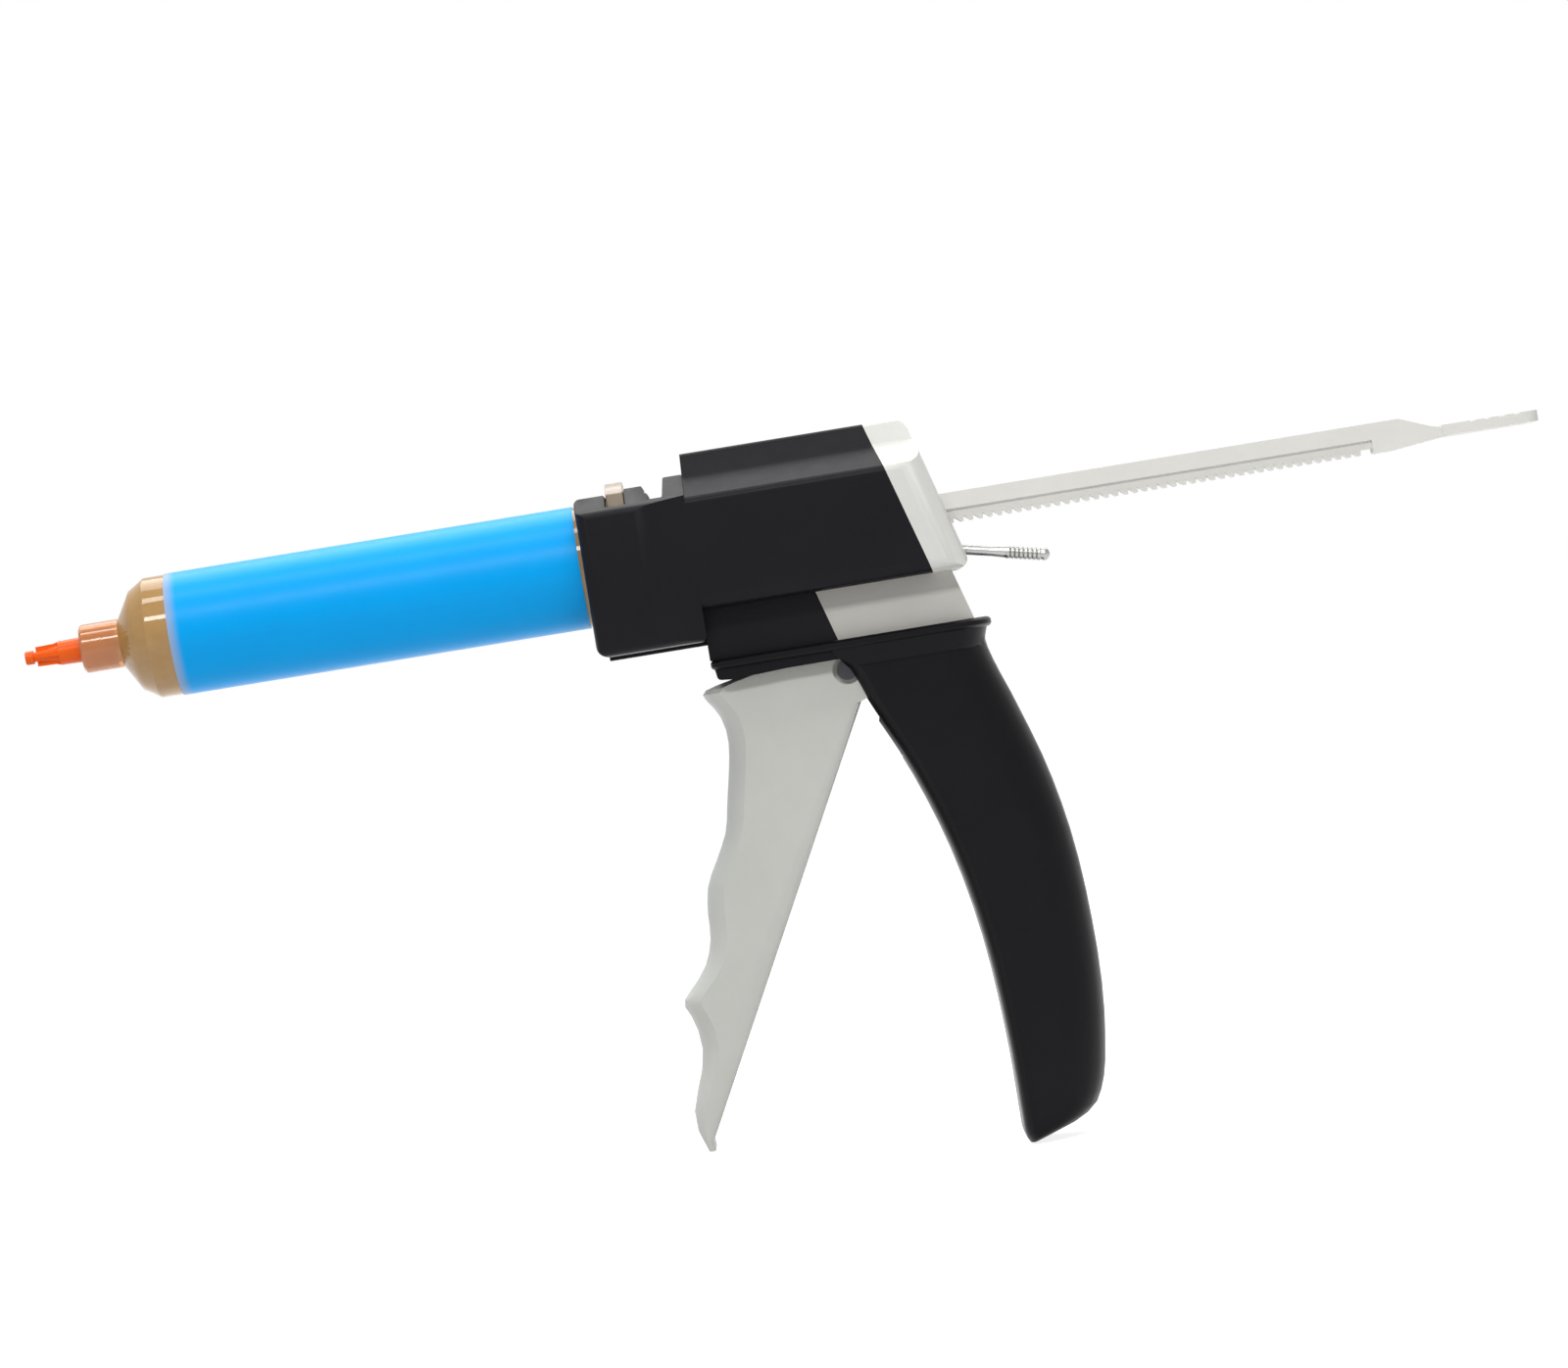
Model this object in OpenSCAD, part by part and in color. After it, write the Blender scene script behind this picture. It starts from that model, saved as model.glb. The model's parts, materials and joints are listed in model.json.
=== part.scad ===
// Trigger-operated dispensing gun with a 30 cc syringe barrel of gel.
// +X runs along the rack towards the user, -X towards the nozzle, +Z is up and the grip hangs down.
// The origin is on the barrel axis, in the plane of the housing's front face.

/* [Cartridge] */
// Outside diameter of the syringe barrel
barrel_od = 24.8; // [24:0.1:25.6]
// Wall of the barrel
barrel_wall = 1.2; // [0.9:0.1:1.5]
// Straight part of the barrel, from its shoulder to the back of its flange
barrel_len = 99.6; // [92:0.2:108]
// Length of the shoulder between the barrel and the collar
shoulder_len = 6.4; // [5.5:0.1:8]
// Tip radius of the two flange ears
ear_r = 16; // [15.5:0.1:16.4]
// Half width of one ear
ear_half = 8.5; // [7:0.1:9.5]
// Thickness of the flange
flange_t = 3.6; // [2.6:0.1:4.2]
// Outside diameter of the luer collar
collar_od = 10; // [9.4:0.1:11]
// Length of the luer collar
collar_len = 8.2; // [7:0.1:10]
// Diameter of the luer nose inside the collar
nose_d = 4; // [3.8:0.05:4.3]
// Bore of the luer nose
nose_bore = 2; // [1.6:0.1:2.4]
// Length of the luer nose
nose_len = 7; // [5.5:0.1:8]
// Film thickness of the printed sleeve round the barrel
label_t = 0.15; // [0.1:0.05:0.25]
// Length of the barrel that the sleeve leaves bare at the shoulder
label_setback = 4.5; // [3:0.5:10]
// Distance of the piston's back from the back of the barrel
piston_inset = 4.6; // [4.3:0.1:8]
// Length of the piston
piston_len = 18; // [14:0.5:19]

/* [Tip cap] */
// Length of the tip cap
cap_len = 17.5; // [16:0.5:20]
// Diameter of the cap's thick end, inside the collar
cap_d = 5.4; // [5.2:0.1:5.8]
// Diameter of the cap's pull end
cap_end_d = 2.8; // [2.4:0.1:3.2]

/* [Housing] */
// Width of the main body
body_w = 33.6; // [32:0.2:34]
// Depth of the body below the rack axis
body_depth = 12.75; // [12.5:0.05:13.2]
// Height of the body's side walls above the rack axis
eave_h = 9.8; // [9.2:0.1:10.4]
// Height of the ridge, where the roof meets the top rail
ridge_h = 14.8; // [14.4:0.1:15.4]
// Half width of the ridge
ridge_half = 7.5; // [6.5:0.1:9]
// Height of the top rail above the rack axis
rail_h = 19.4; // [18.5:0.1:20.5]
// Half width of the top rail
rail_half = 6; // [5:0.1:6.4]
// Distance from the front face to the top rail
rail_x = 22.6; // [22:0.1:24]
// Distance from the front face to the top of the seam with the rear frame
seam_x = 60.2; // [59:0.1:61.5]
// Lean of the seam from the vertical
seam_lean = 16; // [14:0.5:17]
// Wall of the moulded housing
wall = 2; // [1.8:0.1:2.2]
// Width of the nose block that holds the barrel
block_w = 37; // [36.8:0.1:40]
// Depth of the nose block below the axis
block_depth = 19.1; // [19:0.1:21]
// Length of the nose block
block_len = 22.3; // [21.8:0.1:22.4]
// Thickness of the wall in front of the barrel's flange
nose_wall = 6.2; // [5.5:0.1:6.8]
// Height of the roof over the barrel's neck
nose_roof = 13.4; // [13.3:0.1:13.8]

/* [Rear frame] */
// Length of the rear frame along its top, behind the seam
cap_top_len = 8.3; // [7.5:0.1:9.5]
// Lean of the rear face from the vertical
rear_lean = 15.4; // [14:0.1:16]
// Radius of the rear frame's upright corners
rear_r = 5; // [3:0.5:6]

/* [Neck and grip] */
// Width of the neck
neck_w = 19; // [18.8:0.1:20]
// Depth of the neck's lower end below the rack axis
neck_depth = 23.1; // [22.8:0.1:23.6]
// Distance from the front face to the front of the neck
neck_x = 22.1; // [22.1:0.1:23]
// Distance from the front face to the neck's seam, at the top
neck_seam_x = 45.4; // [44.5:0.1:46]
// Distance from the front face to the back of the neck, at the top
neck_back_x = 73.3; // [72.6:0.1:73.6]
// Width of the grip
grip_w = 22.4; // [21:0.2:24]
// Length of the grip below its rim
grip_len = 106.8; // [100:0.5:115]
// How far the grip's front edge runs back on its way down
grip_sweep = 24.5; // [21:0.2:27]
// How far the grip's back stands out behind its top
grip_bulge = 12.9; // [11:0.1:15]
// Width of the rim round the top of the grip
rim_w = 25.6; // [25:0.1:27]
// Distance from the front face to the rear end of the rim
rim_end_x = 79.8; // [79:0.1:81]

/* [Trigger] */
// Distance from the front face to the trigger's pivot
pivot_x = 49.2; // [48.8:0.1:49.4]
// Depth of the trigger's pivot below the rack axis
pivot_depth = 29.3; // [29.2:0.1:29.6]
// Diameter of the pivot pin
pivot_d = 3.2; // [3:0.1:3.6]
// Width of the trigger
trigger_w = 17; // [16.6:0.1:17.4]
// Length of the trigger below its pivot
trigger_len = 92; // [86:0.5:96]
// Radius of the drive arm from the pivot to the pawl pin
arm_r = 21; // [20.8:0.1:21.1]
// Squeeze angle of the trigger
squeeze = 22; // [18:0.5:22]

/* [Rack and pawls] */
// Height of the rack's tooth tips and top face from its middle
rack_h = 6.2; // [6:0.05:6.3]
// Width of the rack's upper rail
rack_w = 6; // [5.4:0.1:6.4]
// Width of the toothed part under the rail
tooth_w = 4.6; // [4:0.1:5.2]
// Pitch of the teeth
tooth_pitch = 2; // [1.8:0.1:2.4]
// Depth of the teeth
tooth_depth = 1.1; // [0.8:0.1:1.3]
// Number of teeth
tooth_count = 72; // [60:1:74]
// Length of the rack behind its pusher, without the pull tab
rack_len = 168.5; // [164:0.5:175]
// Length of the pull tab
tab_len = 19; // [16:0.5:24]
// Width of the pull tab
tab_w = 13; // [10:0.5:16]
// Diameter of the pusher disc
pusher_d = 20.4; // [19:0.2:20.8]
// Thickness of the pusher disc
pusher_t = 3; // [2.4:0.1:3.1]
// Diameter of the pawl pins
pawl_pin_d = 2; // [1.8:0.1:2.2]
// Diameter of the release pin inside the frame
release_d = 2.1; // [1.9:0.1:2.4]
// Diameter of the release pin's serrated end
release_end_d = 2.7; // [2.4:0.1:3]
// Length of the release pin
release_len = 27; // [25:0.5:30]

/* [Fits] */
// Loose gap round parts that the user separates
slip = 0.3; // [0.25:0.05:0.35]
// Gap round the rack in its guides
guide_gap = 0.25; // [0.2:0.05:0.35]
// Radial gap of a running pin
run = 0.06; // [0.03:0.01:0.09]
// Gap between mouldings that nest
nest = 0.12; // [0.1:0.01:0.2]

/* [Hidden] */
$fn = 64;
eps = 0.01;
reach = 60;                     // half size of a cutting block

// Cartridge, from the housing's front face
barrel_r = barrel_od / 2;
bore_r = barrel_r - barrel_wall;
flange_x = nose_wall + slip;
barrel_back = flange_x + flange_t;
groove_end = barrel_back + slip;
barrel_front = barrel_back - barrel_len;
collar_back = barrel_front - shoulder_len;
collar_front = collar_back - collar_len;
collar_wall = 1;
groove_r = ear_r + 0.4;
seat_r = barrel_r + slip - 0.05;
piston_back = barrel_back - piston_inset;
gel_back = piston_back - piston_len;
label_front = barrel_front + label_setback;
label_back = -0.8;              // just clear of the housing

// Shell of the housing
half_w = body_w / 2;
in_w = half_w - wall;
in_floor = body_depth - wall;
in_eave = eave_h - wall * 0.6;
in_ridge = ridge_h - wall;
in_ridge_half = ridge_half - wall * 0.45;
core_x = 19;                    // front of the hollow part
neck_half = neck_w / 2;
neck_in = neck_half - wall;
seam_run = tan(seam_lean);
function seam_at(z) = seam_x + (rail_h - z) * seam_run;
function neck_seam_at(z) = neck_seam_x + (-body_depth - z) * seam_run;
function neck_back_at(z) = neck_back_x + (-body_depth - z) * seam_run;
function rear_at(z) = seam_x + cap_top_len + (rail_h - z) * tan(rear_lean);

// Rack and its drive
rack_top = rack_h / 2 - 0.1;
rack_low = rack_top - rack_h;
tooth_root = rack_low + tooth_depth;
step_z = -0.4;                  // underside of the wide rail
pusher_x = piston_back + 0.2;
rack_x = pusher_x + pusher_t;
tooth_x = rack_x + 7;
guide_half = rack_w / 2 + guide_gap;
guide_top = rack_top + guide_gap;
guide_low = rack_low - guide_gap;
pivot_z = -pivot_depth;
swing = squeeze / 2;
arm_pin = [pivot_x + arm_r * sin(swing), pivot_z + arm_r * cos(swing)];
pawl_gap = 0.72;                // nose to tooth tips at rest: half of it is used up in mid stroke
pawl_half = 1.6;
arm_half = 3.2;
hub_r = 6.3;
cheek_r = 7;
cheek_top = 3;                  // flat on top of the cheeks, above the pivot
lug_in = arm_half + 0.35;
lug_out = 5.95;
lug_r = 5.2;
cheek_in = lug_out + 0.3;
head_r = 2.1;
head_t = 1;
head_y = trigger_w / 2 - 0.2;   // outer face of the pin's heads
frame_front = pivot_x + 8.4;    // front of the solid part of the rear frame's neck

// Release pawl
release_r = 2.3;                // boss of the release pawl
release_pivot = [pivot_x + 12.3, -in_floor + release_r + 0.25];
release_half = 2.5;
rib_in = release_half + 0.3;
rib_out = rib_in + 2;
release_lean = 12.4;
release_axis = release_pivot + [8.5, 0.7];  // a point on the release pin's axis
release_start = 2.5;            // length of the pin before that point

// Screws
screw_r = 1.2;
screw_head_r = 2.3;
screw_head_t = 1.4;
boss_r = 3;
eye_half = 1.9;
screw_depth = 7;                // reach of a screw past the middle plane
screw_at = [[17.2, 3.5 - block_depth], [27.4, eave_h - 1.6], [seam_x - 6.2, eave_h - 1.6], [neck_x + 5.9, 2.8 - neck_depth]];
// Distance of the housing's outer wall from the middle plane at a screw
function screw_half(at) = at[0] < core_x ? block_w / 2 - 1.6 : at[1] < -body_depth ? neck_half : half_w;
grip_screw_x = pivot_x + 17.3;
grip_screw_r = 1.6;
tang_half = 5.5;
tang_x = [grip_screw_x - 5, grip_screw_x + 5];
tang_len = 22;

// ---- Outline helpers ----

function unit(v) = v / norm(v);
function turn(a) = a > 180 ? a - 360 : a < -180 ? a + 360 : a;

// One corner p, between neighbours a and b, rounded by r in n steps
function corner(a, p, b, r, n) =
    r <= 0 ? [p] :
    let (u = unit(a - p), v = unit(b - p), half = acos(u * v) / 2,
         c = p + unit(u + v) * r / sin(half),
         s = p + u * r / tan(half) - c, e = p + v * r / tan(half) - c,
         a0 = atan2(s[1], s[0]), da = turn(atan2(e[1], e[0]) - a0))
    [for (i = [0:n]) c + r * [cos(a0 + da * i / n), sin(a0 + da * i / n)]];

// Closed outline whose corners are [x, y, radius]
function rounded(pts, n = 5) =
    let (m = len(pts), q = [for (p = pts) [p[0], p[1]]])
    [for (i = [0:m - 1]) each corner(q[(i + m - 1) % m], q[i], q[(i + 1) % m], pts[i][2], n)];

// Right half of a section, bottom to top, and its mirror image
function mirrored(pts) =
    concat(pts, [for (i = [len(pts) - 1:-1:0]) [-pts[i][0], pts[i][1], pts[i][2]]]);

// Smooth curve through a table of [station, value]
function slope_at(t, i) =
    let (a = max(i - 1, 0), b = min(i + 1, len(t) - 1)) (t[b][1] - t[a][1]) / (t[b][0] - t[a][0]);
function smooth(t, s, i = 0) =
    s > t[i + 1][0] && i < len(t) - 2 ? smooth(t, s, i + 1) :
    let (h = t[i + 1][0] - t[i][0], u = (s - t[i][0]) / h,
         a = slope_at(t, i) * h, b = slope_at(t, i + 1) * h, d = t[i + 1][1] - t[i][1])
    t[i][1] + u * (a + u * ((3 * d - 2 * a - b) + u * (a + b - 2 * d)));

// Extrusions of an outline along each axis
module along_x(pts, x0, x1) {
    translate([x0, 0, 0]) rotate([90, 0, 90]) linear_extrude(x1 - x0) polygon(pts);
}
module across(pts, w) {
    rotate([90, 0, 0]) linear_extrude(w, center = true) polygon(pts);
}
module span_y(pts, y0, y1) {
    translate([0, y1, 0]) rotate([90, 0, 0]) linear_extrude(y1 - y0) polygon(pts);
}
module upright(pts, z0, z1) {
    translate([0, 0, z0]) linear_extrude(z1 - z0) polygon(pts);
}
module rod_x(r, x0, x1) {
    translate([x0, 0, 0]) rotate([0, 90, 0]) cylinder(r = r, h = x1 - x0);
}
module rod_y(r, at, y0, y1) {
    translate([at[0], y1, at[1]]) rotate([90, 0, 0]) cylinder(r = r, h = y1 - y0);
}
// Both sides of the middle plane
module both_sides() {
    children();
    mirror([0, 1, 0]) children();
}
// Solid of revolution about the barrel axis, from [x, r] points
module lathe(pts) {
    rotate([0, 90, 0]) rotate_extrude($fn = 96) polygon([for (p = pts) [p[1], p[0]]]);
}

// Horizontal slice of a moulded shape: front at x0, back at x1, with its own corner radii
function slice(z, x0, x1, w, rf, rb, n = 4) =
    let (a = min(rf, w - 0.2), b = min(rb, w - 0.2),
         fx = min(a, (x1 - x0) * 0.48), bx = min(b, (x1 - x0) * 0.48))
    concat([for (i = [0:n]) [x1 - bx + bx * sin(90 * i / n), -w + b - b * cos(90 * i / n), z]],
           [for (i = [0:n]) [x1 - bx + bx * cos(90 * i / n), w - b + b * sin(90 * i / n), z]],
           [for (i = [0:n]) [x0 + fx - fx * sin(90 * i / n), w - a + a * cos(90 * i / n), z]],
           [for (i = [0:n]) [x0 + fx - fx * cos(90 * i / n), -w + a - a * sin(90 * i / n), z]]);

// The same with a bevelled front edge, which is bev wide on the side
function bevelled_slice(z, x0, x1, w, bev, rb, n = 5) =
    let (b = min(rb, w - 0.2), bx = min(b, (x1 - x0) * 0.6), e = min(bev, (x1 - x0) * 0.38),
         front = [[x0 + e, w], [x0 + 0.62 * e, w - 0.3 * e], [x0 + 0.3 * e, w - 0.72 * e],
                  [x0 + 0.08 * e, w - 1.25 * e], [x0, w - 1.8 * e]])
    concat([for (i = [0:n]) [x1 - bx + bx * sin(90 * i / n), -w + b - b * cos(90 * i / n), z]],
           [for (i = [0:n]) [x1 - bx + bx * cos(90 * i / n), w - b + b * sin(90 * i / n), z]],
           [for (p = front) [p[0], p[1], z]],
           [for (i = [len(front) - 1:-1:0]) [front[i][0], -front[i][1], z]]);

// Solid through rings of points, from the lowest ring to the highest
module loft(rings) {
    n = len(rings[0]);
    m = len(rings);
    side = [for (k = [0:m - 2], i = [0:n - 1])
            let (a = k * n + i, b = k * n + (i + 1) % n)
            each [[a, a + n, b + n], [a, b + n, b]]];
    polyhedron(points = [for (r = rings) each r],
               faces = concat([[for (i = [0:n - 1]) i]], side,
                              [[for (i = [n - 1:-1:0]) (m - 1) * n + i]]));
}

// Coil spring along +Z from z = 0, as one unbroken tube
module coil(length, od, wire, turns) {
    steps = 10;
    sides = 6;
    n = turns * steps;
    mid = (od - wire) / 2;
    rings = [for (i = [0:n])
             let (a = 360 * i / steps, z = wire / 2 + (length - wire) * i / n)
             [for (k = [0:sides - 1])
              let (b = 360 * k / sides, r = mid + wire / 2 * cos(b))
              [r * cos(a), r * sin(a), z + wire / 2 * sin(b)]]];
    side = [for (k = [0:n - 1], i = [0:sides - 1])
            let (a = k * sides + i, b = k * sides + (i + 1) % sides)
            each [[a, b + sides, a + sides], [a, b, b + sides]]];
    polyhedron(points = [for (r = rings) each r],
               faces = concat([[for (i = [sides - 1:-1:0]) i]], side,
                              [[for (i = [0:sides - 1]) n * sides + i]]));
}

// ---- Housing ----

block_section = rounded(mirrored([
    [block_w / 2, -block_depth, 3], [block_w / 2, eave_h, 1.8], [ridge_half, ridge_h + 0.4, 1]]));
body_section = rounded(mirrored([
    [half_w, -body_depth, 2.8], [half_w, eave_h, 1.8], [ridge_half, ridge_h, 0.8], [rail_half, rail_h, 1.2]]));
body_core = rounded(mirrored([
    [in_w, -in_floor, 1.2], [in_w, in_eave, 0.8], [in_ridge_half, in_ridge, 0.8]]));

slot_floor = eave_h + 0.9;      // floor of the slot for the barrel's ears
notch_x = [14.9, 17.9];
notch_floor = eave_h + 1.2;
block_side = rounded([
    [0, -block_depth, 2.4], [block_len, -block_depth, 1.2], [block_len, ridge_h + 0.4, 0],
    [notch_x[1] + 0.6, ridge_h + 0.4, 0.4], [notch_x[1], notch_floor, 0.3],
    [notch_x[0], notch_floor, 0], [notch_x[0], notch_floor + 1.4, 0],
    [notch_x[0] - 0.8, notch_floor + 1.4, 0], [notch_x[0] - 0.8, nose_roof + 0.7, 0.3],
    [groove_end, nose_roof + 0.7, 0.2], [groove_end, slot_floor, 0.2],
    [nose_wall, slot_floor, 0.2], [nose_wall, nose_roof, 0.2], [0, nose_roof, 1.2]]);
flare_x = groove_end + 1.6;     // where the nose block's sides start to draw in
block_plan = rounded([
    [0, -block_w / 2, 2.5], [flare_x, -block_w / 2, 12], [block_len, -half_w, 0],
    [block_len, half_w, 0], [flare_x, block_w / 2, 12], [0, block_w / 2, 2.5]]);
keel_half = 5;
keel_t = 0.7;

module housing_outer() {
    intersection() {
        along_x(block_section, 0, block_len);
        across(block_side, 2 * reach);
        upright(block_plan, -reach, reach);
    }
    // shallow keel under the nose block
    translate([2, -keel_half, -block_depth - keel_t]) cube([block_len - 2, 2 * keel_half, keel_t + 1]);
    intersection() {
        along_x(body_section, 20, reach + rail_x);
        across([[20, -body_depth], [seam_at(-body_depth), -body_depth], [seam_at(rail_h), rail_h],
                [rail_x, rail_h], [rail_x - 0.2, ridge_h + 0.2], [20, ridge_h + 0.2]], 2 * reach);
    }
    across([[neck_x, -body_depth + 1], [neck_x, -neck_depth], [neck_seam_at(-neck_depth), -neck_depth],
            [neck_seam_at(1 - body_depth), 1 - body_depth]], neck_w);
}

// Everything that the barrel, the rack and the mechanism need inside
module housing_cavity() {
    rod_x(seat_r, -1, nose_wall + eps);
    translate([-1, -groove_r, -ear_half - 0.6])
        cube([nose_wall + 1 + eps, 2 * groove_r, 2 * ear_half + 1.2]);
    rod_x(groove_r, nose_wall, groove_end);
    translate([groove_end - eps, -guide_half, guide_low])
        cube([core_x - groove_end + 1, 2 * guide_half, guide_top - guide_low]);
    along_x(body_core, core_x, seam_at(-body_depth) + 1);
    translate([rail_x + wall, -rail_half + wall, in_ridge - 1])
        cube([reach, 2 * (rail_half - wall), rail_h - wall - in_ridge + 1]);
    translate([neck_x + wall, -neck_in, -reach])
        cube([reach, 2 * neck_in, reach - in_floor + 1]);
    // room for the rear frame's neck
    across([[neck_seam_at(-in_floor + 1), -in_floor + 1], [reach + neck_x, -in_floor + 1],
            [reach + neck_x, -reach], [neck_seam_at(-reach), -reach]], neck_w + 2 * nest);
}

module screw_bosses() {
    for (i = [1:3]) rod_y(boss_r, screw_at[i], -neck_half + eps - (i < 3 ? half_w - neck_half - 1 : 0.6),
                          neck_half - eps + (i < 3 ? half_w - neck_half - 1 : 0.6));
}

// One half of the housing: side is -1 for the left and 1 for the right
module housing_half(side) {
    y0 = side < 0 ? -reach : 0;
    difference() {
        intersection() {
            union() {
                difference() {
                    housing_outer();
                    housing_cavity();
                }
                intersection() {
                    screw_bosses();
                    housing_outer();
                }
            }
            translate([-1, y0, -reach]) cube([2 * reach, reach, 2 * reach]);
        }
        // the frame's eye is clamped between the bosses of the third screw
        translate([screw_at[2][0] - boss_r - 1, -eye_half - 0.05, screw_at[2][1] - boss_r - 1])
            cube([2 * boss_r + 2, 2 * eye_half + 0.1, 2 * boss_r + 2]);
        for (at = screw_at) {
            if (side < 0) rod_y(screw_r, at, -screw_depth, 1);
            if (side > 0) {
                rod_y(screw_r + 0.2, at, -1, screw_half(at) - screw_head_t + eps);
                rod_y(screw_head_r + 0.2, at, screw_half(at) - screw_head_t, half_w + 10);
            }
        }
    }
}
module housing_left() { color([0.14, 0.13, 0.15]) housing_half(-1); }
module housing_right() { color([0.15, 0.14, 0.16]) housing_half(1); }

module housing_screws() {
    color("silver") for (at = screw_at) {
        difference() {
            rod_y(screw_head_r, at, screw_half(at) - screw_head_t + 0.05, screw_half(at) - 0.05);
            // cross recess
            for (q = [0, 90]) translate([at[0], screw_half(at), at[1]]) rotate([0, q, 0])
                cube([2.4, 1.2, 0.5], center = true);
        }
        rod_y(screw_r - 0.02, at, -screw_depth + 0.5, screw_half(at) - screw_head_t + 0.1);
    }
}

// ---- Rear frame ----

spigot_len = 5;
cap_core_section = rounded(mirrored([
    [in_w, -in_floor, 1.2], [in_w, in_eave, 0.8], [in_ridge_half, in_ridge, 0.8], [rail_half - wall, rail_h - wall, 0.8]]));

// Section pulled in by d on every wall of the hollow body
function nested(d) = rounded(mirrored([
    [in_w - d, -in_floor + d, 1], [in_w - d, in_eave - d * 0.6, 0.6], [in_ridge_half - d * 0.5, in_ridge - d, 0.6]]));

module rear_frame() {
    color([0.87, 0.87, 0.85]) difference() {
        union() {
            // cap behind the seam
            intersection() {
                along_x(body_section, seam_x - 1, seam_x + 25);
                across(rounded([[seam_at(rail_h), rail_h, 0], [rear_at(rail_h), rail_h, 3.5],
                                [rear_at(-body_depth), -body_depth, 2], [seam_at(-body_depth), -body_depth, 0]]),
                       2 * reach);
                // its rear corners are rounded along the lean of the rear face
                translate([rear_at(0), 0, 0]) rotate([0, -rear_lean, 0])
                    upright(rounded([[-reach, -half_w - eps, 0], [0, -half_w - eps, rear_r],
                                     [0, half_w + eps, rear_r], [-reach, half_w + eps, 0]], 8), -reach, reach);
            }
            // spigot that plugs into the housing
            intersection() {
                along_x(nested(nest), seam_x - 20, seam_x + 25);
                across([[seam_at(in_ridge) - spigot_len, in_ridge], [seam_at(in_ridge) + 1, in_ridge],
                        [seam_at(-in_floor) + 1, -in_floor], [seam_at(-in_floor) - spigot_len, -in_floor]], 2 * reach);
            }
            // neck
            across([[neck_seam_at(-in_floor), -in_floor], [neck_back_at(-in_floor), -in_floor],
                    [neck_back_at(-neck_depth), -neck_depth], [neck_seam_at(-neck_depth), -neck_depth]], neck_w);
            // tang inside the grip
            translate([tang_x[0], -tang_half, -neck_depth - tang_len])
                cube([tang_x[1] - tang_x[0], 2 * tang_half, tang_len + 1]);
        }
        // hollow cap
        difference() {
            intersection() {
                union() {
                    along_x(nested(wall), seam_x - 20, seam_x + 25);
                    along_x(cap_core_section, seam_x + 3, seam_x + 25);
                }
                across([[seam_x - 20, rail_h], [rear_at(rail_h) - wall, rail_h],
                        [rear_at(-reach) - wall, -reach], [seam_x - 20, -reach]], 2 * reach);
            }
            // web above the rack, which carries the eye
            translate([seam_x - 25, -eye_half, screw_at[2][1] - boss_r]) cube([reach, 2 * eye_half, reach]);
        }
        // room for the trigger's arm
        translate([neck_seam_x - 5, -neck_in, -reach]) cube([frame_front - neck_seam_x + 5, 2 * neck_in, reach + 5]);
        // rack and release pin leave through the rear face
        translate([seam_x, -guide_half, guide_low]) cube([reach, 2 * guide_half, guide_top - guide_low]);
        translate([release_pivot[0] + 6.5, -release_half - 0.4, -body_depth - 0.25])
            cube([reach, 2 * release_half + 0.8, release_axis[1] + 0.35 + body_depth + 0.25]);
        // screw into the grip
        translate([grip_screw_x, 0, -reach]) cylinder(r = grip_screw_r + 0.2, h = reach);
        translate([grip_screw_x, 0, -neck_depth + 3]) cylinder(r = 3.3, h = neck_depth);
    }
    color([0.87, 0.87, 0.85]) difference() {
        union() {
            both_sides() {
                // lugs for the trigger's pivot
                span_y([[pivot_x - 4.6, pivot_z + 1.5], [pivot_x - 1, -in_floor - 4], [frame_front + 1, -in_floor - 4],
                        [frame_front + 1, -neck_depth + 1.4], [frame_front - 0.4, -neck_depth + 0.8],
                        [pivot_x + 5, pivot_z + 1.5]], lug_in, lug_out);
                rod_y(lug_r, [pivot_x, pivot_z], lug_in, lug_out);
                // ribs for the release pawl's pin
                span_y([[frame_front, -in_floor - 1], [frame_front, release_pivot[1] + 1.5],
                        [release_pivot[0] - 1.5, release_pivot[1] + 2.9], [release_pivot[0] + 1.5, release_pivot[1] + 2.9],
                        [release_pivot[0] + 5, -in_floor - 1]], rib_in, rib_out);
            }
            // eye for the third housing screw
            rod_y(boss_r + 0.4, screw_at[2], -eye_half, eye_half);
            translate([screw_at[2][0], -eye_half, screw_at[2][1] - boss_r])
                cube([seam_x + 10 - screw_at[2][0], 2 * eye_half, boss_r + 2]);
        }
        rod_y(pivot_d / 2, [pivot_x, pivot_z], -reach, reach);
        rod_y(pawl_pin_d / 2, release_pivot, -reach, reach);
        rod_y(screw_r + 0.2, screw_at[2], -reach, reach);
    }
}

// ---- Grip ----

rim_top = -neck_depth;
rim_t = 2;
grip_top = rim_top - rim_t;
bead = [[0, 0.7], [0.2, 0.28], [0.6, 0], [1.4, 0], [1.8, 0.28], [2, 0.7]];  // depth and inset round the rim's edge
step_low = rim_top - 3.6;       // underside of the step at the front
band_low = rim_top - 5.7;       // underside of the band at the back
// Rings of the band: depth below its top, width beyond the grip's side, and distance from the rim's rear end
band_h = grip_top + 0.3 - band_low;
band = [[band_h, 0.25, 2], [band_h * 0.9, 0.5, 1.9], [band_h * 0.5, 0.8, 1.6], [0, 1.1, 0.9]];

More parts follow.
